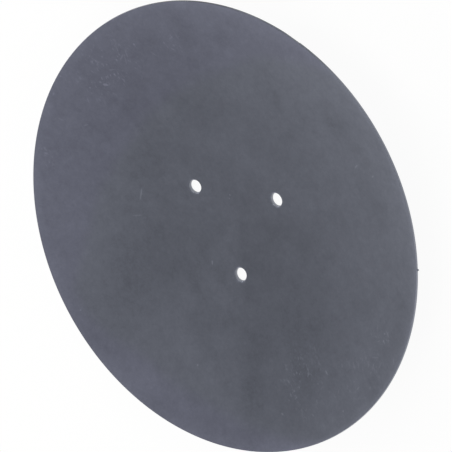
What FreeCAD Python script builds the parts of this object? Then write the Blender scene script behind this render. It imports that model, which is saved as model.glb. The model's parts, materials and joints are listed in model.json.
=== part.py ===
import FreeCAD, Part
import math
import os
import Sketcher

# Seed drill disc: one round plate of hardened steel, pressed to a shallow dish.
# The disc's axis is Z. The hollow opens upwards and the disc lies on its convex side,
# whose lowest point is the origin. Three plain holes round the axis take the bolts of
# the bearing hub, and the rim is ground to an edge from the convex side.

# Driving dimensions, in millimetres and degrees
SIZES = {
    "disc_diameter": (325.0, "across the outermost edge of the rim"),
    "dish_depth": (26.0, "from the upper edge of the rim down to the middle of the hollow"),
    "plate_thickness": (3.0, "thickness of the plate, the same all over"),
    "land_width": (1.5, "square edge that the grinding leaves, across the plate"),
    "bevel_width": (8.0, "face of the ground bevel, along its slope"),
    "hole_count": (3, "bolt holes"),
    "hole_diameter": (9.5, "each bolt hole"),
    "hole_circle_diameter": (80.0, "circle through the centres of the bolt holes"),
    "hole_angle": (30.0, "direction of the first bolt hole, from +X"),
    "hole_mouth_round": (0.9, "mouths of the bolt holes on the hollow side, drawn in by the punch"),
    "hole_edge_break": (0.3, "edges of the bolt holes taken off on the convex side"),
    "nick_angle": (58.9, "deep end of the worn nick in the rim, clockwise from +X"),
    "nick_length": (13.5, "nick, along the rim"),
    "nick_depth": (0.5, "nick, at its deep end"),
    "burr_angle": (121.0, "small burr on the rim, clockwise from +X"),
    "burr_width": (2.2, "burr, along the rim"),
    "burr_height": (0.9, "burr, standing out from the rim"),
    "burr_thickness": (0.8, "burr, across the edge"),
}

document = FreeCAD.newDocument("seed_drill_disc")


def make_sheet():
    """The spreadsheet that holds the driving dimensions."""
    sheet = document.addObject("Spreadsheet::Sheet", "Sizes")
    for row, (alias, (value, note)) in enumerate(SIZES.items(), start=1):
        sheet.set(f"A{row}", alias)
        sheet.set(f"B{row}", str(value))
        sheet.setAlias(f"B{row}", alias)
        sheet.set(f"C{row}", note)
    document.recompute()
    return sheet


sizes = make_sheet()
disc = document.addObject("PartDesign::Body", "Disc")
disc.Label = "seed_drill_disc"


def origin_feature(role):
    """One of the body's own planes or axes."""
    return next(item for item in disc.Origin.OriginFeatures if item.Role == role)


def new_sketch(name, plane):
    sketch = disc.newObject("Sketcher::SketchObject", name)
    sketch.AttachmentSupport = (origin_feature(plane), "")
    sketch.MapMode = "FlatFace"
    return sketch


def point(x, y):
    return FreeCAD.Vector(x, y, 0)


def polar(radius, degrees):
    angle = math.radians(degrees)
    return point(radius * math.cos(angle), radius * math.sin(angle))


def bind(sketch, constraint, name, expression):
    """Adds a named dimension to a sketch and ties it to the spreadsheet."""
    index = sketch.addConstraint(constraint)
    sketch.renameConstraint(index, name)
    sketch.setExpression(f"Constraints.{name}", expression)
    return index


# Starting values for the sketches, which their constraints then hold
rim_radius = sizes.disc_diameter / 2
hollow_radius = (rim_radius**2 + sizes.dish_depth**2) / (2 * sizes.dish_depth)
START, END, CENTRE = range(1, 4)  # numbers that a sketch gives to the points of a line or arc
ORIGIN = (-1, 1)
SHEET_X = -1
SHEET_Y = -2


def draw_section():
    """Half section of the plate: axis, convex arc, bevel, land and concave arc."""
    sketch = new_sketch("PlateSection", "XZ_Plane")
    thickness = float(sizes.plate_thickness)
    middle = point(0, hollow_radius + thickness)
    rim_lean = math.asin(rim_radius / hollow_radius)
    bevel_lean = rim_lean - sizes.bevel_width / hollow_radius
    outward = point(math.sin(rim_lean), -math.cos(rim_lean))
    inward = point(math.sin(bevel_lean), -math.cos(bevel_lean))
    land_top = middle + outward * hollow_radius
    land_foot = middle + outward * (hollow_radius + sizes.land_width)
    bevel_foot = middle + inward * (hollow_radius + thickness)
    straight_down = -math.pi / 2

    axis = sketch.addGeometry(Part.LineSegment(point(0, 0), point(0, thickness)))
    circle = Part.Circle(middle, FreeCAD.Vector(0, 0, 1), hollow_radius + thickness)
    convex = sketch.addGeometry(Part.ArcOfCircle(circle, straight_down, straight_down + bevel_lean))
    bevel = sketch.addGeometry(Part.LineSegment(bevel_foot, land_foot))
    land = sketch.addGeometry(Part.LineSegment(land_foot, land_top))
    circle = Part.Circle(middle, FreeCAD.Vector(0, 0, 1), hollow_radius)
    concave = sketch.addGeometry(Part.ArcOfCircle(circle, straight_down, straight_down + rim_lean))

    joins = [
        ((axis, START), ORIGIN),
        ((convex, START), (axis, START)),
        ((bevel, START), (convex, END)),
        ((land, START), (bevel, END)),
        ((concave, END), (land, END)),
        ((axis, END), (concave, START)),
        ((concave, CENTRE), (convex, CENTRE)),
    ]
    for first, second in joins:
        sketch.addConstraint(Sketcher.Constraint("Coincident", *first, *second))
    sketch.addConstraint(Sketcher.Constraint("PointOnObject", axis, END, SHEET_Y))
    sketch.addConstraint(Sketcher.Constraint("PointOnObject", convex, CENTRE, SHEET_Y))
    # The land is cut square through the plate, so its line points at the arcs' centre
    sketch.addConstraint(Sketcher.Constraint("PointOnObject", concave, CENTRE, land))

    bind(sketch, Sketcher.Constraint("DistanceY", axis, START, axis, END, thickness),
         "thickness", "Sizes.plate_thickness")
    bind(sketch, Sketcher.Constraint("DistanceX", *ORIGIN, land, START, rim_radius),
         "rim_radius", "Sizes.disc_diameter / 2")
    bind(sketch, Sketcher.Constraint("DistanceY", axis, END, land, END, float(sizes.dish_depth)),
         "dish_depth", "Sizes.dish_depth")
    bind(sketch, Sketcher.Constraint("Distance", land, float(sizes.land_width)),
         "land_width", "Sizes.land_width")
    bind(sketch, Sketcher.Constraint("Distance", bevel, float(sizes.bevel_width)),
         "bevel_width", "Sizes.bevel_width")
    return sketch


def turn_plate(section):
    plate = disc.newObject("PartDesign::Revolution", "Plate")
    plate.Profile = section
    plate.ReferenceAxis = (origin_feature("Z_Axis"), [""])
    plate.Angle = 360
    section.Visibility = False
    return plate


def cut_through(name, sketch):
    """Pocket up through the whole plate, checked by the volume that it takes away."""
    document.recompute()
    before = disc.Shape.Volume
    pocket = disc.newObject("PartDesign::Pocket", name)
    pocket.Profile = sketch
    pocket.Type = "ThroughAll"
    pocket.Reversed = True
    document.recompute()
    if not pocket.Shape.Volume < before:
        raise RuntimeError(f"{name} cuts nothing")
    return pocket


def drill_holes():
    """Three holes parallel to the axis, evenly round the bolt circle."""
    sketch = new_sketch("BoltHole", "XY_Plane")
    centre = polar(sizes.hole_circle_diameter / 2, sizes.hole_angle)
    spoke = sketch.addGeometry(Part.LineSegment(point(0, 0), centre), True)
    rim = Part.Circle(centre, FreeCAD.Vector(0, 0, 1), sizes.hole_diameter / 2)
    hole = sketch.addGeometry(rim)
    sketch.addConstraint(Sketcher.Constraint("Coincident", spoke, START, *ORIGIN))
    sketch.addConstraint(Sketcher.Constraint("Coincident", hole, CENTRE, spoke, END))
    bind(sketch, Sketcher.Constraint("Distance", spoke, sizes.hole_circle_diameter / 2),
         "circle_radius", "Sizes.hole_circle_diameter / 2")
    bind(sketch, Sketcher.Constraint("Angle", SHEET_X, START, spoke, START,
                                     math.radians(sizes.hole_angle)),
         "angle", "Sizes.hole_angle * 1 deg")
    bind(sketch, Sketcher.Constraint("Diameter", hole, float(sizes.hole_diameter)),
         "hole_diameter", "Sizes.hole_diameter")
    pocket = cut_through("BoltHoleCut", sketch)

    holes = disc.newObject("PartDesign::PolarPattern", "BoltHoles")
    holes.Originals = [pocket]
    holes.Axis = (origin_feature("Z_Axis"), [""])
    holes.Angle = 360
    holes.setExpression("Occurrences", "Sizes.hole_count")
    disc.Tip = holes
    document.recompute()
    return holes


def mouth_edges(feature):
    """Names of the closed edges round the bolt holes of a feature, from the lowest up."""
    bolt_circle_radius = sizes.hole_circle_diameter / 2
    found = []
    for number, edge in enumerate(feature.Shape.Edges, start=1):
        middle = edge.CenterOfMass
        off_circle = abs(math.hypot(middle.x, middle.y) - bolt_circle_radius)
        goes_round_hole = edge.isClosed() and edge.Length > 3 * sizes.hole_diameter
        if goes_round_hole and off_circle < sizes.hole_diameter / 2:
            found.append((middle.z, f"Edge{number}"))
    if len(found) < 2 * sizes.hole_count:
        raise RuntimeError(f"{len(found)} edges found round the bolt holes")
    return [name for height, name in sorted(found)]


def dress_edges(kind, name, base, edges, measure, expression):
    """Chamfer or fillet on some edges of the feature before it."""
    feature = disc.newObject(f"PartDesign::{kind}", name)
    feature.Base = (base, edges)
    feature.setExpression(measure, expression)
    document.recompute()
    return feature


def ease_hole_mouths(holes):
    """The mouths on the convex side are chamfered, and those on the hollow side rounded."""
    lowest = mouth_edges(holes)[:sizes.hole_count]
    chamfer = dress_edges("Chamfer", "HoleEdges", holes, lowest, "Size", "Sizes.hole_edge_break")
    highest = mouth_edges(chamfer)[-sizes.hole_count:]
    dress_edges("Fillet", "HoleMouths", chamfer, highest, "Radius", "Sizes.hole_mouth_round")


def wear_nick():
    """Shallow worn place in the rim: a ramp that deepens to a small step."""
    sketch = new_sketch("NickOutline", "XY_Plane")
    radius = rim_radius
    step_angle = -sizes.nick_angle
    ramp_angle = step_angle + math.degrees(sizes.nick_length / radius)
    clear = radius + 4 * sizes.nick_depth
    corners = [
        polar(radius, ramp_angle),
        polar(radius - sizes.nick_depth, step_angle),
        polar(clear, step_angle),
        polar(clear, ramp_angle),
    ]
    sides = []
    for number, corner in enumerate(corners):
        follower = corners[(number + 1) % len(corners)]
        sides.append(sketch.addGeometry(Part.LineSegment(corner, follower)))
    ramp, step, outside, mouth = sides
    for number, side in enumerate(sides):
        follower = sides[(number + 1) % len(sides)]
        sketch.addConstraint(Sketcher.Constraint("Coincident", side, END, follower, START))
    # Two spokes from the axis give the directions of the nick's ends
    step_spoke = sketch.addGeometry(Part.LineSegment(point(0, 0), corners[1]), True)
    ramp_spoke = sketch.addGeometry(Part.LineSegment(point(0, 0), corners[0]), True)
    for spoke, side in ((step_spoke, step), (ramp_spoke, ramp)):
        sketch.addConstraint(Sketcher.Constraint("Coincident", spoke, START, *ORIGIN))
        sketch.addConstraint(Sketcher.Constraint("Coincident", spoke, END, side, START))
    sketch.addConstraint(Sketcher.Constraint("PointOnObject", step, END, step_spoke))
    sketch.addConstraint(Sketcher.Constraint("PointOnObject", mouth, START, ramp_spoke))
    bind(sketch, Sketcher.Constraint("Angle", step_spoke, START, SHEET_X, START,
                                     math.radians(sizes.nick_angle)),
         "step_angle", "Sizes.nick_angle * 1 deg")
    bind(sketch, Sketcher.Constraint("Angle", step_spoke, START, ramp_spoke, START,
                                     sizes.nick_length / radius),
         "span", "Sizes.nick_length / (Sizes.disc_diameter / 2) * 1 rad")
    bind(sketch, Sketcher.Constraint("Distance", ramp_spoke, radius),
         "ramp_radius", "Sizes.disc_diameter / 2")
    bind(sketch, Sketcher.Constraint("Distance", step_spoke, radius - sizes.nick_depth),
         "step_radius", "Sizes.disc_diameter / 2 - Sizes.nick_depth")
    bind(sketch, Sketcher.Constraint("Distance", step, 5 * sizes.nick_depth),
         "step_height", "5 * Sizes.nick_depth")
    bind(sketch, Sketcher.Constraint("Distance", mouth, 4 * sizes.nick_depth),
         "mouth_height", "4 * Sizes.nick_depth")
    return cut_through("Nick", sketch)


def raise_burr():
    """Tiny pointed burr that stands out from the land of the rim."""
    sketch = new_sketch("BurrOutline", "XY_Plane")
    lift = "Sizes.plate_thickness + Sizes.dish_depth - Sizes.land_width"
    sketch.setExpression("AttachmentOffset.Base.z", f"({lift}) * 1 mm")
    root = rim_radius - sizes.land_width / 2
    tip_radius = rim_radius + sizes.burr_height
    half_turn = math.degrees(sizes.burr_width / 2 / rim_radius)
    corners = [
        polar(tip_radius, -sizes.burr_angle),
        polar(root, -sizes.burr_angle - half_turn),
        polar(root, -sizes.burr_angle + half_turn),
    ]
    sides = []
    for number, corner in enumerate(corners):
        follower = corners[(number + 1) % len(corners)]
        sides.append(sketch.addGeometry(Part.LineSegment(corner, follower)))
    for number, side in enumerate(sides):
        follower = sides[(number + 1) % len(sides)]
        sketch.addConstraint(Sketcher.Constraint("Coincident", side, END, follower, START))
    spoke = sketch.addGeometry(Part.LineSegment(point(0, 0), corners[0]), True)
    sketch.addConstraint(Sketcher.Constraint("Coincident", spoke, START, *ORIGIN))
    sketch.addConstraint(Sketcher.Constraint("Coincident", spoke, END, sides[0], START))
    sketch.addConstraint(Sketcher.Constraint("Symmetric", sides[1], START, sides[1], END, spoke))
    bind(sketch, Sketcher.Constraint("Angle", spoke, START, SHEET_X, START,
                                     math.radians(sizes.burr_angle)),
         "angle", "Sizes.burr_angle * 1 deg")
    bind(sketch, Sketcher.Constraint("Distance", spoke, tip_radius),
         "tip_radius", "Sizes.disc_diameter / 2 + Sizes.burr_height")
    bind(sketch, Sketcher.Constraint("Distance", sides[1], float(sizes.burr_width)),
         "burr_width", "Sizes.burr_width")
    bind(sketch, Sketcher.Constraint("Distance", sides[0], corners[0].distanceToPoint(corners[1])),
         "side_length",
         "sqrt((Sizes.burr_width / 2)^2 + (Sizes.burr_height + Sizes.land_width / 2)^2)")
    document.recompute()
    burr = disc.newObject("PartDesign::Pad", "Burr")
    burr.Profile = sketch
    burr.setExpression("Length", "Sizes.burr_thickness")
    document.recompute()
    return burr


turn_plate(draw_section())
ease_hole_mouths(drill_holes())
wear_nick()
raise_burr()
document.recompute()


def check_and_write():
    """Every feature is sound and the disc is one closed solid before the file is written."""
    for item in document.Objects:
        if "Invalid" in item.State or "Error" in item.State:
            raise RuntimeError(f"{item.Label} failed: {item.State}")
    shape = disc.Shape
    if shape.isNull() or not shape.isValid():
        raise RuntimeError("the disc's shape is not valid")
    if len(shape.Solids) != 1:
        raise RuntimeError(f"the disc has {len(shape.Solids)} solids")
    os.makedirs("parts", exist_ok=True)
    shape.exportStep(f"parts/{disc.Label}.step")
    box = shape.BoundBox
    print(f"{disc.Label}: {shape.Volume:.1f} mm3, {len(shape.Faces)} faces")
    print(f"x {box.XMin:.3f} to {box.XMax:.3f}, y {box.YMin:.3f} to {box.YMax:.3f},"
          f" z {box.ZMin:.3f} to {box.ZMax:.3f}")


check_and_write()
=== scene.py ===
import json
import math

import bpy
from mathutils import Matrix, Vector


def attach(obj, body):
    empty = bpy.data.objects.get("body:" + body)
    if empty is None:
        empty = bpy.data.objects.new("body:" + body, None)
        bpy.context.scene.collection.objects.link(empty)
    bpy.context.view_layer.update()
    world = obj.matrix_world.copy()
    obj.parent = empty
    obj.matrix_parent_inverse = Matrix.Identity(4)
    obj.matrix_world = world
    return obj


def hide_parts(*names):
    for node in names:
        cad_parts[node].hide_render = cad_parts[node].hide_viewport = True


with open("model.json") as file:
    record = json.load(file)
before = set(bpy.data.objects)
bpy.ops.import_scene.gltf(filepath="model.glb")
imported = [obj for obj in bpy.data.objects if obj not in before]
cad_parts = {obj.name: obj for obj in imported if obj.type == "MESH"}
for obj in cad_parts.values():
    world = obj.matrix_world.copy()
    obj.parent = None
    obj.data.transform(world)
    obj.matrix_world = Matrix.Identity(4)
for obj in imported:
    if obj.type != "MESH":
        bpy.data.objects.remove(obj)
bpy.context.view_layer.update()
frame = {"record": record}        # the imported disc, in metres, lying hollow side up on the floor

mm = 0.001
weldReach = 0.01 * mm    # points closer than this become one
boltCircle = frame["record"]["mounts"][0]["dims"]  # pcd_mm, count and hole_r_mm


def activate(thing):
    bpy.ops.object.select_all(action="DESELECT")
    thing.select_set(True)
    bpy.context.view_layer.objects.active = thing


def settle(thing):  # its place goes into the mesh, and the object sits at the origin
    activate(thing)
    bpy.ops.object.transform_apply(location=True, rotation=True, scale=True)


def joinTools(tools):
    for tool in tools:
        settle(tool)
    activate(tools[0])
    for tool in tools:
        tool.select_set(True)
    bpy.ops.object.join()
    return tools[0]


def weld(thing):  # closes the hair gaps that a cut leaves where two edges cross
    bpy.ops.object.mode_set(mode="EDIT")
    bpy.ops.mesh.select_all(action="SELECT")
    bpy.ops.mesh.remove_doubles(threshold=weldReach)
    bpy.ops.object.mode_set(mode="OBJECT")


def carve(thing, tool, operation="DIFFERENCE"):
    activate(thing)
    modifier = thing.modifiers.new("carve", "BOOLEAN")
    modifier.operation = operation
    modifier.solver = "EXACT"
    modifier.object = tool
    bpy.ops.object.modifier_apply(modifier=modifier.name)
    bpy.data.objects.remove(tool)
    weld(thing)


# The pressed plate, turned from its half section

plate = {
    "diameter": 325.0,        # mm, over the outermost edge
    "dishDepth": 26.0,        # hollow, from the rim's upper edge down
    "thickness": 3.0,
    "landWidth": 1.5,         # square edge that the grinding leaves
    "bevelWidth": 8.0,        # ground face on the convex side
    "rows": 60,               # rows of faces from the middle to the rim
    "bevelRows": 4,           # and across the ground bevel
    "turnSteps": 288,         # faces round the axis
    "cornerRound": 0.2,       # the rim's corners are dulled
    "ridgeRound": 0.4,        # soft line where the bevel meets the convex side
    "sharpAngle": 30.0,       # degrees, an edge that turns by more is shaded sharp
}
rimRadius = plate["diameter"] / 2


def sphereFit():  # the land leans out with the plate, so the hollow's edge is inside the rim
    hollowEdge = rimRadius
    for _ in range(8):  # the edge and the lean depend on each other, and 8 rounds settle them
        lean = 2 * math.atan(plate["dishDepth"] / hollowEdge)
        hollowEdge = rimRadius - plate["landWidth"] * math.sin(lean)
    return hollowEdge / math.sin(lean), lean


hollowRadius, rimLean = sphereFit()
backRadius = hollowRadius + plate["thickness"]
bevelLean = rimLean - plate["bevelWidth"] / backRadius  # where the bevel meets the convex side
sphereMiddle = Vector((0, 0, backRadius))


def onSphere(radius, lean):
    return sphereMiddle + radius * Vector((math.sin(lean), 0, -math.cos(lean)))


def roundCorner(before, corner, after, reach):
    # a short curve in place of a sharp corner, with a close point on each side to hold the shading
    toBefore = (before - corner).normalized()
    toAfter = (after - corner).normalized()
    start = corner + toBefore * reach
    end = corner + toAfter * reach
    curve = [start + toBefore * reach, start]
    for step in (0.25, 0.5, 0.75):
        curve.append(start * (1 - step) ** 2 + corner * 2 * step * (1 - step) + end * step ** 2)
    return curve + [end, end + toAfter * reach]


def plateSection():
    rows = plate["rows"]
    hollow = [onSphere(hollowRadius, rimLean * i / rows) for i in range(rows + 1)]
    back = [onSphere(backRadius, bevelLean * i / rows) for i in range(rows, -1, -1)]
    landFoot = onSphere(hollowRadius + plate["landWidth"], rimLean)
    points = hollow[:-1]
    points += roundCorner(hollow[-2], hollow[-1], landFoot, plate["cornerRound"])
    points += roundCorner(hollow[-1], landFoot, back[0], plate["cornerRound"])
    points += [landFoot.lerp(back[0], i / plate["bevelRows"]) for i in range(1, plate["bevelRows"])]
    points += roundCorner(landFoot, back[0], back[1], plate["ridgeRound"])
    return points + back[1:]


def spun(points, steps):  # a closed skin turned about Z, from points in mm that start and end on it
    bpy.ops.mesh.primitive_plane_add(size=mm, location=points[0] * mm)  # merged to a point, below
    thing = bpy.context.object
    settle(thing)
    bpy.ops.object.mode_set(mode="EDIT")
    bpy.ops.mesh.select_all(action="SELECT")
    bpy.ops.mesh.merge(type="CENTER")
    for here, there in zip(points, points[1:]):
        bpy.ops.mesh.extrude_region_move(TRANSFORM_OT_translate={"value": (there - here) * mm})
    bpy.ops.mesh.select_all(action="SELECT")
    bpy.ops.mesh.spin(steps=steps, angle=math.tau, center=(0, 0, 0), axis=(0, 0, 1))
    bpy.ops.mesh.select_all(action="SELECT")
    bpy.ops.mesh.remove_doubles(threshold=weldReach)
    bpy.ops.mesh.normals_make_consistent(inside=False)
    bpy.ops.object.mode_set(mode="OBJECT")
    return thing


disc = spun(plateSection(), plate["turnSteps"])
disc.name = "discPlate"
print("plate turned:", len(disc.data.vertices), "points")

# The bolt holes: punched through along the axis, the punch draws the hollow side's mouths in

holes = {
    "firstAngle": 30.0,       # degrees from +X
    "sides": 96,
    "punchLength": 18.0,      # mm, well past both faces
    "mouthRound": 0.9,        # mm, radius of the drawn-in mouths
    "roundTo": 80.0,          # degrees of that curve, short of the 90 at which it would lie in the face
    "roundSteps": 5,
    "footTaper": 0.1,         # mm, keeps the foot of a mouth's tool clear of the wall
    "edgeBreak": 0.3,         # mm taken off the mouths on the convex side
    "mouthReach": 0.7,        # how far a mouth's tool stands proud of the plate
}
holeRadius = boltCircle["hole_r_mm"]
circleRadius = boltCircle["pcd_mm"] / 2
holeTurns = [Matrix.Rotation(math.radians(holes["firstAngle"]) + math.tau * i / boltCircle["count"], 3, "Z")
             for i in range(boltCircle["count"])]


def onPlate(turn, faceRadius):  # the middle of a hole on one face of the plate
    return turn @ onSphere(faceRadius, math.asin(circleRadius / faceRadius))


def punch(turn):
    bpy.ops.mesh.primitive_cylinder_add(vertices=holes["sides"], radius=holeRadius * mm,
                                        depth=holes["punchLength"] * mm,
                                        location=onPlate(turn, hollowRadius) * mm)
    return bpy.context.object


def mouthRoller(turn):  # rounds a mouth over, square to the hollow, from a middle under the face
    radius = holes["mouthRound"]
    points = [Vector((0, 0, -radius)), Vector((holeRadius - holes["footTaper"], 0, -radius))]
    for step in range(holes["roundSteps"] + 1):
        lean = math.radians(holes["roundTo"] * step / holes["roundSteps"])
        points.append(Vector((holeRadius + radius * (1 - math.cos(lean)), 0, radius * math.sin(lean))))
    slope = (points[-1] - points[-2]).normalized()
    points.append(points[-1] + slope * holes["mouthReach"] / slope.z)
    points.append(Vector((0, 0, points[-1].z)))
    tool = spun(points, holes["sides"])
    face = onPlate(turn, hollowRadius)
    tool.rotation_euler = (sphereMiddle - face).to_track_quat("Z", "Y").to_euler()
    tool.location = (face - Vector((0, 0, radius))) * mm
    return tool


def mouthCone(turn):  # takes the edge off a mouth on the convex side, wide end outward
    proud = holes["mouthReach"]
    length = 2 * proud + holes["edgeBreak"]
    wide = holeRadius + holes["edgeBreak"] + proud
    face = onPlate(turn, backRadius)
    outward = (face - sphereMiddle).normalized()
    bpy.ops.mesh.primitive_cone_add(vertices=holes["sides"], radius1=(wide - length) * mm,
                                    radius2=wide * mm, depth=length * mm,
                                    location=(face + outward * (proud - length / 2)) * mm,
                                    rotation=outward.to_track_quat("Z", "Y").to_euler())
    return bpy.context.object


carve(disc, joinTools([punch(turn) for turn in holeTurns]))
carve(disc, joinTools([mouth(turn) for turn in holeTurns for mouth in (mouthRoller, mouthCone)]))
print("holes punched:", len(holeTurns))

# Marks on the rim: a shallow worn nick and a tiny burr

rimMarks = {
    "nickAngle": -58.9,       # degrees from +X, the nick's deep end
    "nickLength": 13.5,       # mm along the rim
    "nickDepth": 0.5,
    "cutterWidth": 4.0,       # wide and tall enough to clear the edge
    "cutterHeight": 12.0,
    "burrAngle": -121.0,
    "burrWidth": 2.2,
    "burrHeight": 1.1,
    "burrThickness": 0.8,
    "burrTip": 1.1,           # its width at the blunt end
    "burrSides": 10,
}
rimHeight = plate["thickness"] + plate["dishDepth"]


def rimPoint(radius, degrees):
    return Matrix.Rotation(math.radians(degrees), 3, "Z") @ Vector((radius, 0, 0))


def wearNick(thing):
    span = math.degrees(rimMarks["nickLength"] / rimRadius)
    deep = rimPoint(rimRadius - rimMarks["nickDepth"], rimMarks["nickAngle"])
    shallow = rimPoint(rimRadius, rimMarks["nickAngle"] + span)
    along = shallow - deep
    outward = Vector((along.y, -along.x, 0)).normalized()
    size = Vector((along.length, rimMarks["cutterWidth"], rimMarks["cutterHeight"]))
    middle = (deep + shallow) / 2 + outward * size.y / 2 + Vector((0, 0, rimHeight))
    bpy.ops.mesh.primitive_cube_add(size=mm, location=middle * mm, scale=size,
                                    rotation=(0, 0, math.atan2(along.y, along.x)))
    carve(thing, bpy.context.object)


def raiseBurr(thing):
    root = rimRadius - plate["landWidth"] / 2
    length = rimRadius + rimMarks["burrHeight"] - root
    middle = rimPoint(root + length / 2, rimMarks["burrAngle"])
    middle.z = rimHeight - plate["landWidth"] / 2
    outward = rimPoint(1, rimMarks["burrAngle"])
    bpy.ops.mesh.primitive_cone_add(vertices=rimMarks["burrSides"],
                                    radius1=rimMarks["burrWidth"] / 2 * mm,
                                    radius2=rimMarks["burrTip"] / 2 * mm,
                                    depth=length * mm, location=middle * mm,
                                    rotation=outward.to_track_quat("Z", "Y").to_euler())
    tool = bpy.context.object
    settle(tool)
    squeeze = rimMarks["burrThickness"] / rimMarks["burrWidth"]
    bpy.ops.object.mode_set(mode="EDIT")
    bpy.ops.mesh.select_all(action="SELECT")
    bpy.ops.transform.resize(value=(1, 1, squeeze), center_override=middle * mm)
    bpy.ops.object.mode_set(mode="OBJECT")
    carve(thing, tool, "UNION")


wearNick(disc)
raiseBurr(disc)
activate(disc)
bpy.ops.object.shade_smooth_by_angle(angle=math.radians(plate["sharpAngle"]))
print("rim marked:", len(disc.data.polygons), "faces")


# Finishes

def linear(hexColour):  # from sRGB to the linear values that a shader takes
    channels = [int(hexColour[i:i + 2], 16) / 255 for i in (1, 3, 5)]
    return [c / 12.92 if c <= 0.04045 else ((c + 0.055) / 1.055) ** 2.4 for c in channels]


def addNode(tree, kind, sockets=None, **settings):  # a socket's value is a number or another node's output
    node = tree.nodes.new("ShaderNode" + kind)
    for name, value in settings.items():
        setattr(node, name, value)
    for name, value in (sockets or {}).items():
        if isinstance(value, bpy.types.NodeSocket):
            tree.links.new(value, node.inputs[name])
        else:
            node.inputs[name].default_value = value
    return node.outputs


def newMaterial(name):
    material = bpy.data.materials.new(name)
    material.use_nodes = True
    material.node_tree.nodes.clear()
    return material, material.node_tree


def onDisc(tree):  # the place on the disc, in mm
    place = addNode(tree, "TexCoord")["Object"]
    return addNode(tree, "VectorMath", {0: place, "Scale": 1 / mm}, operation="SCALE")[0]


def layered(tree, base, *layers):  # each layer is a pattern and how strongly it is added
    for pattern, strength in layers:
        base = addNode(tree, "Math", {0: pattern, 1: strength, 2: base}, operation="MULTIPLY_ADD")[0]
    return base


def grains(tree, place, size, octaves=2.0, roughness=0.6, seed=0.5):  # noise from -0.5 to 0.5, size in mm
    noise = addNode(tree, "TexNoise", {"Vector": place, "Scale": 1 / size, "Detail": octaves, "W": seed,
                                       "Roughness": roughness}, noise_dimensions="4D")["Fac"]
    return addNode(tree, "Math", {0: noise, 1: 0.5}, operation="SUBTRACT")[0]


def spot(tree, place, x, y, halfLength, halfWidth, turn, strength, core):
    # an oval mark, full within its core and gone at its edge
    shape = addNode(tree, "Mapping", {"Vector": place, "Location": (x, y, 0),
                                      "Rotation": (0, 0, math.radians(turn)),
                                      "Scale": (halfLength, halfWidth, 1)}, vector_type="TEXTURE")[0]
    # a gradient without a clamp takes little of the shader stack, which this many marks would else overfill
    nearness = addNode(tree, "TexGradient", {"Vector": shape}, gradient_type="SPHERICAL")["Fac"]
    return addNode(tree, "MapRange", {"Value": nearness, "From Max": 1 - core, "To Max": strength},
                   interpolation_type="SMOOTHSTEP", clamp=False)[0]


def metal(tree, colour, tone, roughness, height, relief):
    shade = addNode(tree, "VectorMath", {0: colour, "Scale": tone}, operation="SCALE")[0]
    bump = addNode(tree, "Bump", {"Height": height, "Strength": 1.0, "Distance": relief * mm})[0]
    shader = addNode(tree, "BsdfPrincipled", {"Base Color": shade, "Metallic": 1.0,
                                              "Roughness": roughness, "Normal": bump})[0]
    addNode(tree, "OutputMaterial", {"Surface": shader})


tempered = {
    "colour": "#676a74",      # grey-blue oxide film over the steel
    "violet": "#676976",      # the same film where it is a little thicker
    "violetSoft": 14.0,       # mm, width of its soft edge
    "roughness": 0.45,
    "cloudSize": 60.0,        # mm, broad drifts where oil and scale dried
    "cloudTone": 0.05,        # the hollow side's broad drifts are mostly placed one by one, below
    "backCloudTone": 0.14,
    "cloudRoughness": 0.2,
    "mottleSize": 16.0,       # mm, blotches, each octave as strong as the one above
    "mottleTone": 0.56,
    "grainSize": 1.0,         # mill and blast texture, drawn coarse enough to show
    "grainTone": 0.06,
    "relief": 0.006,          # mm, height of that texture
    "drift": 9.0,             # mm, how far the stains' outlines wander
    "rimBand": 9.0,           # the face is rubbed lighter towards the rim
    "rimTone": 0.09,
    "fleckSize": 1.7,         # mm, crumbs of bare metal where the face was rubbed
    "fleckStretch": 0.5,      # their width over their length, which lies along X
    "fleckFrom": 0.08,        # noise above this shows as a fleck
    "fleckTo": 0.24,
    "fleckTone": 0.42,
    "fleckStray": 0.08,       # share of flecks outside the rubbed patches
    "clumpSize": 9.0,         # mm, the flecks gather in clumps
    "clumpPull": 0.5,
    "clumpSeed": 2.5,
    "scratchCore": 0.4,       # share of a scratch's size that is at full strength
}
# painted highlight on the rim: its edge is lightened along one side, standing in for light that catches it
# there
rimHighlight = {
    "towards": -132.0,        # degrees from +X, the middle of the side with the painted highlight
    "from": 0.38,             # cosine of the angle to it at which the shine starts, and is full
    "to": 0.6,
    "band": 3.5,              # mm in from the rim
    "tone": 0.2,
}
plainFilm = ((-124, -30, 222), (52, -72, 226))  # x, y, radius in mm: violet lies outside either circle
rubbed = (  # x, y, half length, half width in mm, turn in degrees, share of flecks
    (135, 27, 42, 29, -77, 1.0), (129, -34, 16, 12, 65, 0.7), (103, 113, 14, 11, 0, 0.8),
    (-120, 4, 34, 30, -25, 1.0), (-113, -86, 18, 14, -60, 0.9), (-128, -55, 60, 26, -67, 0.4),
)
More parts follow.
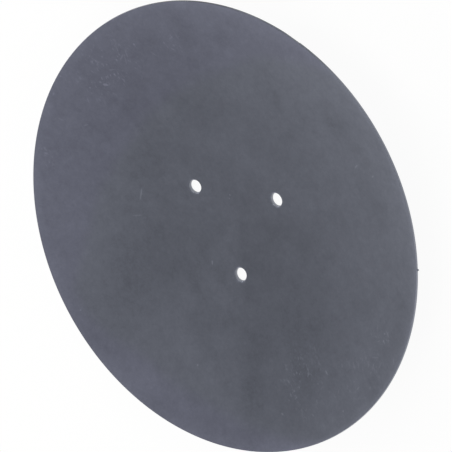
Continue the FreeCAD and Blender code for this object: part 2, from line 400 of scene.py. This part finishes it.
stains = (  # x, y, half length, half width in mm, turn in degrees, how much lighter or darker
    (0, 105, 58, 38, -75, -0.11), (60, 40, 30, 20, -55, -0.08), (20, 70, 20, 20, 0, -0.07),
    (-26, 60, 8, 14, 90, -0.08), (-60, 45, 22, 18, 90, -0.06), (-85, -18, 48, 44, -20, -0.09),
    (-82, 30, 30, 20, 80, -0.10), (-118, -8, 14, 18, 20, -0.08), (-113, 50, 25, 19, -25, -0.13),
    (27, -128, 14, 17, 50, -0.11), (-30, -127, 35, 20, -5, -0.10), (-106, -110, 40, 16, -42, -0.12),
    (-22, 158, 15, 14, 15, -0.06), (103, 106, 40, 20, -25, -0.05), (100, 64, 20, 18, -20, -0.04),
    (137, -15, 26, 17, -60, -0.10), (131, -50, 20, 17, -40, -0.09), (114, -80, 18, 20, -20, -0.09),
    (88, -120, 18, 12, -85, -0.06), (67, -52, 9, 12, 70, -0.06), (57, -87, 11, 8, -27, -0.10),
    (37, -86, 9, 6, -63, -0.07), (79, -96, 12, 6, -61, -0.05), (30, -42, 44, 42, 40, 0.09),
    (30, -35, 10, 15, 80, 0.05), (57, -20, 25, 18, -20, 0.06), (-10, -75, 28, 22, -5, 0.06),
    (90, 7, 26, 14, 90, 0.06), (80, 58, 22, 15, -50, 0.04), (-57, -83, 36, 30, 20, 0.10),
    (-13, -3, 20, 17, -30, 0.09), (-70, 136, 33, 24, 25, 0.11), (-66, 90, 24, 20, 30, 0.05),
    (-114, 105, 34, 20, 45, 0.06), (-105, 80, 22, 14, -15, 0.05), (-154, 34, 44, 16, 75, 0.10),
    (-154, -18, 40, 23, -82, 0.10), (152, 29, 24, 13, -80, 0.04), (22, 155, 22, 17, -5, 0.05),
    (44, 123, 12, 18, 10, 0.04), (13, -130, 45, 23, 2, -0.05), (-25, 59, 39, 21, 19, -0.05),
    (-64, -32, 34, 16, 46, -0.045), (-109, 2, 37, 20, -20, -0.06), (144, -18, 38, 16, 69, 0.055),
    (-90, 115, 39, 17, 30, 0.07), (-123, -61, 55, 18, -55, 0.04), (58, -12, 37, 20, 5, 0.04),
    (40, -73, 30, 18, 34, 0.035), (10, 126, 41, 22, 12, 0.035), (-50, 143, 27, 14, -3, 0.04),
    (-37, -62, 19, 12, 60, 0.035), (-63, 75, 15, 10, -27, 0.035), (155, 31, 29, 9, 89, 0.045),
    (122, -62, 12, 10, -46, 0.045), (-14, 41, 23, 12, 57, -0.035), (-78, 26, 33, 11, 43, -0.04),
    (44, 58, 21, 11, 48, -0.035), (10, 49, 14, 10, -16, -0.035), (-81, 101, 15, 11, 2, 0.035),
    (-156, 0, 10, 5, -88, 0.06), (86, 2, 18, 10, 48, 0.035), (21, -20, 18, 11, -26, 0.025),
    (-104, -107, 16, 10, -4, 0.035), (-39, -73, 18, 12, 46, 0.025),
)
scratches = (  # the same values, for small rubbed marks that show brighter metal
    (48, 64, 6.5, 0.8, -44, 0.35), (36, 76, 5.5, 0.7, 70, 0.2), (18, -4, 0.9, 0.9, 0, 0.4),
    (16, -2, 0.8, 0.8, 0, 0.3), (-18, 38, 2.2, 0.8, -28, 0.45), (-78, 85, 0.9, 0.9, 0, 0.35),
    (140, -6, 1.1, 1.0, 10, 0.3), (137, 5, 3.4, 0.8, -19, 0.2), (137, 10, 3.6, 0.8, -63, 0.2),
    (133, 24, 3.6, 0.7, 72, 0.2), (126, 36, 3.5, 0.7, 64, 0.16), (130, 49, 1.0, 0.9, 10, 0.3),
    (139, 77, 1.8, 0.8, -57, 0.2), (131, -37, 3.4, 0.8, -81, 0.15), (124, -32, 2.2, 0.9, 24, 0.14),
    (-114, -88, 3.5, 0.9, 2, 0.2), (-103, -17, 3.1, 0.8, -6, 0.15), (-121, -20, 2.4, 0.9, 12, 0.4),
    (-121, -36, 2.2, 0.9, -11, 0.18), (-107, 8, 3.3, 0.8, -17, 0.14), (-128, 14, 2.3, 0.8, -74, 0.25),
    (-134, 30, 1.5, 0.9, 33, 0.35), (-5, 153, 0.9, 0.9, 0, 0.25), (-5, -126, 2.8, 0.8, -76, 0.25),
    (-16, -137, 1.9, 0.8, -88, 0.25), (-132, -85, 3.6, 0.8, -16, 0.18), (-130, -64, 3.4, 0.8, -39, 0.14),
    (-131, -71, 4.1, 0.8, -59, 0.14), (-125, -51, 3.6, 0.8, -15, 0.12), (-139, -44, 2.3, 0.8, -69, 0.18),
    (-142, -55, 1.7, 0.8, -39, 0.18), (-149, -24, 0.9, 0.9, 0, 0.3), (-125, -69, 4.0, 0.7, 71, 0.16),
    (-143, 4, 1.9, 0.8, 34, 0.2), (-136, -25, 3.1, 0.8, -46, 0.14), (134, 9, 5.0, 0.7, -29, 0.15),
    (144, 24, 0.9, 0.9, 0, 0.25), (128, -15, 3.7, 0.7, 25, 0.18), (123, 57, 2.6, 0.8, -17, 0.2),
    (109, 71, 2.5, 0.8, 81, 0.2), (147, 63, 0.9, 0.9, 0, 0.3), (121, 85, 2.3, 0.8, 33, 0.15),
)


def patches(tree, place, marks, tone, core=0.0):  # each mark is added as soon as it is made
    for mark in marks:
        tone = layered(tree, tone, (spot(tree, place, *mark, core), 1.0))
    return tone


def paintRimHighlight(tree, flat, out, tone):  # painted highlight: the rim's edge is lightened along one side, where light catches it
    band = addNode(tree, "MapRange", {"Value": out, "From Min": rimRadius - rimHighlight["band"],
                                      "From Max": rimRadius, "To Max": rimHighlight["tone"]})[0]
    facing = addNode(tree, "VectorMath", {0: flat, 1: rimPoint(1, rimHighlight["towards"])},
                     operation="DOT_PRODUCT")["Value"]
    side = addNode(tree, "MapRange", {"Value": facing, "From Min": rimHighlight["from"] * rimRadius,
                                      "From Max": rimHighlight["to"] * rimRadius},
                   interpolation_type="SMOOTHSTEP")[0]
    return layered(tree, tone, (band, side))


def crumbs(tree, place, flat):  # small light flecks, thick in the rubbed patches and rare elsewhere
    along = addNode(tree, "VectorMath", {0: place, 1: (tempered["fleckStretch"], 1, 1)},
                    operation="MULTIPLY")[0]
    noise = grains(tree, along, tempered["fleckSize"], octaves=1.0)
    clumps = grains(tree, place, tempered["clumpSize"], roughness=0.5, seed=tempered["clumpSeed"])
    noise = layered(tree, noise, (clumps, tempered["clumpPull"]))
    share = patches(tree, flat, rubbed, tempered["fleckStray"])
    fleck = addNode(tree, "MapRange", {"Value": noise, "From Min": tempered["fleckFrom"],
                                       "From Max": tempered["fleckTo"]}, interpolation_type="SMOOTHSTEP")[0]
    return addNode(tree, "Math", {0: fleck, 1: share}, operation="MULTIPLY")[0]


def oxideFilm(tree, flat, clouds):  # two near shades, the violet one along two stretches of the rim
    outside = []
    for x, y, radius in plainFilm:
        away = addNode(tree, "VectorMath", {0: flat, 1: (x, y, 0)}, operation="DISTANCE")["Value"]
        outside.append(addNode(tree, "Math", {0: away, 1: radius}, operation="SUBTRACT")[0])
    outside = addNode(tree, "Math", {0: outside[0], 1: outside[1]}, operation="MAXIMUM")[0]
    outside = layered(tree, outside, (clouds, 2 * tempered["drift"]))
    soft = tempered["violetSoft"]
    share = addNode(tree, "MapRange", {"Value": outside, "From Min": -soft / 2, "From Max": soft / 2},
                    interpolation_type="SMOOTHSTEP")[0]
    return addNode(tree, "Mix", {0: share, 6: (*linear(tempered["colour"]), 1),
                                 7: (*linear(tempered["violet"]), 1)}, data_type="RGBA")[2]


def temperedSteel(name, marked):
    # quenched and tempered boron steel: dark, satin and faintly blue, with soft clouds in the film
    material, tree = newMaterial(name)
    place = onDisc(tree)
    clouds = grains(tree, place, tempered["cloudSize"])
    mottle = grains(tree, place, tempered["mottleSize"], octaves=4.0, roughness=1.0)
    grain = grains(tree, place, tempered["grainSize"], roughness=0.7)
    flat = addNode(tree, "VectorMath", {0: place, 1: (1, 1, 0)}, operation="MULTIPLY")[0]
    out = addNode(tree, "VectorMath", {0: flat}, operation="LENGTH")["Value"]
    rim = addNode(tree, "MapRange", {"Value": out, "From Min": rimRadius - tempered["rimBand"],
                                     "From Max": rimRadius, "To Max": tempered["rimTone"]},
                  interpolation_type="SMOOTHSTEP")[0]
    tone = layered(tree, 1.0, (clouds, tempered["cloudTone" if marked else "backCloudTone"]),
                   (mottle, tempered["mottleTone"]), (grain, tempered["grainTone"]), (rim, 1.0))
    if marked:
        wander = addNode(tree, "TexNoise", {"Vector": place, "Scale": 1 / tempered["mottleSize"],
                                            "Detail": 3.0, "Roughness": 0.6})["Color"]
        wander = addNode(tree, "VectorMath", {0: wander, 1: (0.5, 0.5, 0.5)}, operation="SUBTRACT")[0]
        drifted = addNode(tree, "VectorMath", {0: wander, 1: (2 * tempered["drift"],) * 3, 2: place},
                          operation="MULTIPLY_ADD")[0]
        drifted = addNode(tree, "VectorMath", {0: drifted, 1: (1, 1, 0)}, operation="MULTIPLY")[0]
        # painted highlight along one side of the rim
        tone = paintRimHighlight(tree, flat, out, tone)
        tone = patches(tree, drifted, stains, tone)
        tone = patches(tree, flat, scratches, tone, tempered["scratchCore"])
        tone = layered(tree, tone, (crumbs(tree, place, flat), tempered["fleckTone"]))
    rough = layered(tree, tempered["roughness"], (clouds, tempered["cloudRoughness"]))
    metal(tree, oxideFilm(tree, flat, clouds), tone, rough, grain, tempered["relief"])
    return material


ground = {
    "colour": "#7a7d86",      # ground before tempering, so the same film lies on a smoother face
    "roughness": 0.36,
    "lineSize": 0.3,          # mm between grinding lines, drawn coarse enough to show
    "lineTone": 0.16,
    "blotchSize": 18.0,       # mm, where the wheel bit more or less
    "blotchTone": 0.12,
    "blotchRoughness": 0.15,
    "relief": 0.008,          # mm
    "shadeCore": 0.3,         # share of a painted shade patch's size that is at full strength
}
edgePaintedShade = (  # painted shade on the ground edge, darker along two stretches of the rim; the same values as the hollow's stains
    (150, -61, 80, 40, 68, -0.5), (92, -133, 46, 30, 35, -0.22),
)


def groundEdge():
    # ground round the rim: fine rings follow the edge, so it looks brushed and a little lighter
    material, tree = newMaterial("groundEdge")
    place = onDisc(tree)
    flat = addNode(tree, "VectorMath", {0: place, 1: (1, 1, 0)}, operation="MULTIPLY")[0]
    out = addNode(tree, "VectorMath", {0: flat}, operation="LENGTH")["Value"]
    height = addNode(tree, "SeparateXYZ", {0: place})["Z"]
    across = addNode(tree, "CombineXYZ", {"X": out, "Y": height})[0]
    lines = grains(tree, across, ground["lineSize"])
    blotches = grains(tree, place, ground["blotchSize"], octaves=3.0)
    tone = layered(tree, 1.0, (lines, ground["lineTone"]), (blotches, ground["blotchTone"]))
    # painted highlight along one side of the rim
    tone = paintRimHighlight(tree, flat, out, tone)
    # painted shade darkens two stretches of the edge
    tone = patches(tree, flat, edgePaintedShade, tone, ground["shadeCore"])
    rough = layered(tree, ground["roughness"], (blotches, ground["blotchRoughness"]))
    metal(tree, linear(ground["colour"]), tone, rough, lines, ground["relief"])
    return material


punched = {
    "colour": "#8b8e96",      # sheared metal, brighter than the faces
    "roughness": 0.4,
    "lineSize": 0.5,          # mm between the shear lines round a hole
    "lineStretch": 0.08,      # their width over their length, which lies along the axis
    "lineTone": 0.25,
    "lineRoughness": 0.1,
    "relief": 0.02,           # mm
}


def punchedWall():
    # walls that a punch sheared: short bright lines run through the plate
    material, tree = newMaterial("punchedWall")
    place = onDisc(tree)
    drawn = addNode(tree, "VectorMath", {0: place, 1: (1, 1, punched["lineStretch"])},
                    operation="MULTIPLY")[0]
    lines = grains(tree, drawn, punched["lineSize"])
    tone = layered(tree, 1.0, (lines, punched["lineTone"]))
    rough = layered(tree, punched["roughness"], (lines, punched["lineRoughness"]))
    metal(tree, linear(punched["colour"]), tone, rough, lines, punched["relief"])
    return material


zones = {
    "wallSlope": 0.9,         # cosine from the sphere's normal: beside a hole, what has less is wall
    "hollowSlope": 0.63,      # Z of a normal: at the rim the hollow's is 0.95 and the land's is 0.31
}


def zoneOf(face):  # 0 hollow side, 1 convex side, 2 ground edge, 3 hole walls
    middle = face.center / mm
    steep = abs(face.normal.dot((middle - sphereMiddle).normalized())) < zones["wallSlope"]
    for turn in holeTurns:
        away = (middle.xy - onPlate(turn, hollowRadius).xy).length
        if steep and away < holeRadius + holes["edgeBreak"]:
            return 3
    if face.normal.z > zones["hollowSlope"]:
        return 0
    return 2 if middle.xy.length > backRadius * math.sin(bevelLean) else 1


def dress(thing):
    thing.data.materials.clear()
    for material in (temperedSteel("temperedHollow", True), temperedSteel("temperedBack", False),
                     groundEdge(), punchedWall()):
        thing.data.materials.append(material)
    for face in thing.data.polygons:
        face.material_index = zoneOf(face)


dress(disc)
print("finishes on:", len(disc.data.materials))

# Floor, light and camera

setting = {
    "floorSize": 6.0,             # m
    "floorColour": "#f4f4f2",
    "floorGlow": 0.94,            # share of plain white that the camera and the steel see on the floor
    "roomLight": 0.4,             # from all round, behind the white that the camera sees
    "lampColour": "#ffffff",
    "lampDistance": 1.5,          # m
    "lampClearance": 0.02,        # m, between a lamp's lower edge and the floor
}
lamps = {  # azimuth and elevation in degrees, width and height in m, watts
    "leftSoftbox": (150, 60, 0.8, 0.8, 2.5),
    "rightSoftbox": (30, 60, 0.8, 0.8, 0.8),
    "topSoftbox": (90, 90, 0.8, 0.8, 1.55),
    "backLamp": (90, 14, 1.0, 0.6, 2.1),
    "backLeftLamp": (128, 14, 1.0, 0.6, 8.1),
    "backRightLamp": (52, 14, 1.0, 0.6, 1.9),
    "rightLamp": (30, 30, 0.6, 0.6, 7.9),
    "frontRightLamp": (-40, 35, 0.8, 0.5, 5.4),
    "frontLeftLamp": (-147, 10, 0.8, 0.4, 3.7),
}
white = (1, 1, 1, 1)


def layFloor():
    bpy.ops.mesh.primitive_plane_add(size=setting["floorSize"])
    floor = bpy.context.object
    floor.name = "floor"
    material, tree = newMaterial("paleFloor")
    paint = addNode(tree, "BsdfDiffuse", {"Color": (*linear(setting["floorColour"]), 1)})[0]
    glow = addNode(tree, "Emission", {"Color": white, "Strength": 1.0})[0]
    ray = addNode(tree, "LightPath")
    seen = addNode(tree, "Math", {0: ray["Is Camera Ray"], 1: ray["Is Glossy Ray"]}, operation="ADD")[0]
    seen = addNode(tree, "Math", {0: seen, 1: ray["Is Transmission Ray"]}, operation="ADD",
                   use_clamp=True)[0]
    share = addNode(tree, "Math", {0: seen, 1: setting["floorGlow"]}, operation="MULTIPLY")[0]
    mix = addNode(tree, "MixShader", {0: share, 1: paint, 2: glow})[0]
    addNode(tree, "OutputMaterial", {"Surface": mix})
    floor.data.materials.append(material)


def lightRoom():
    world = bpy.data.worlds.new("studio")
    bpy.context.scene.world = world
    world.use_nodes = True
    tree = world.node_tree
    tree.nodes.clear()
    seen = addNode(tree, "LightPath")["Is Camera Ray"]
    room = addNode(tree, "Background", {"Color": white, "Strength": setting["roomLight"]})[0]
    backdrop = addNode(tree, "Background", {"Color": white, "Strength": 1.0})[0]
    mix = addNode(tree, "MixShader", {0: seen, 1: room, 2: backdrop})[0]
    addNode(tree, "OutputWorld", {"Surface": mix})


def direction(azimuth, elevation):
    azimuth, elevation = math.radians(azimuth), math.radians(elevation)
    return Vector((math.cos(elevation) * math.cos(azimuth), math.cos(elevation) * math.sin(azimuth),
                   math.sin(elevation)))


def hangLamps():
    for name, (azimuth, elevation, width, height, watts) in lamps.items():
        data = bpy.data.lights.new(name, "AREA")
        data.shape = "RECTANGLE"
        data.size = width
        data.size_y = height
        data.energy = watts
        data.color = linear(setting["lampColour"])
        lamp = bpy.data.objects.new(name, data)
        bpy.context.scene.collection.objects.link(lamp)
        away = direction(azimuth, elevation)
        lamp.location = away * setting["lampDistance"]
        lamp.location.z = max(lamp.location.z, height / 2 + setting["lampClearance"])
        lamp.rotation_euler = away.to_track_quat("Z", "Y").to_euler()


view = {
    "aim": (0.0, -10.0, 29.0),    # mm, the point on the view axis
    "distance": 1986.5,
    "azimuth": -90.48,            # degrees, the side that the camera stands on
    "elevation": 49.05,
    "roll": -117.03,              # the disc hung slanting in the frame
    "lens": 231.08,               # mm
    "sensor": 36.0,               # mm
    "clipEnd": 20.0,              # m
}


def placeCamera():
    back = direction(view["azimuth"], view["elevation"])
    level = Vector((0, 0, 1)).cross(back).normalized()
    upright = back.cross(level)
    axes = Matrix((level, upright, back)).transposed()
    roll = Matrix.Rotation(math.radians(view["roll"]), 3, "Z")
    data = bpy.data.cameras.new("camera")
    data.sensor_width = view["sensor"]
    data.lens = view["lens"]
    data.clip_end = view["clipEnd"]
    camera = bpy.data.objects.new("camera", data)
    bpy.context.scene.collection.objects.link(camera)
    camera.matrix_world = (axes @ roll).to_4x4()
    camera.location = (Vector(view["aim"]) + back * view["distance"]) * mm
    bpy.context.scene.camera = camera


layFloor()
lightRoom()
hangLamps()
placeCamera()
bpy.context.scene.view_settings.view_transform = "Standard"
print("set laid out")

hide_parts("seed_drill_disc")
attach(disc, "root")
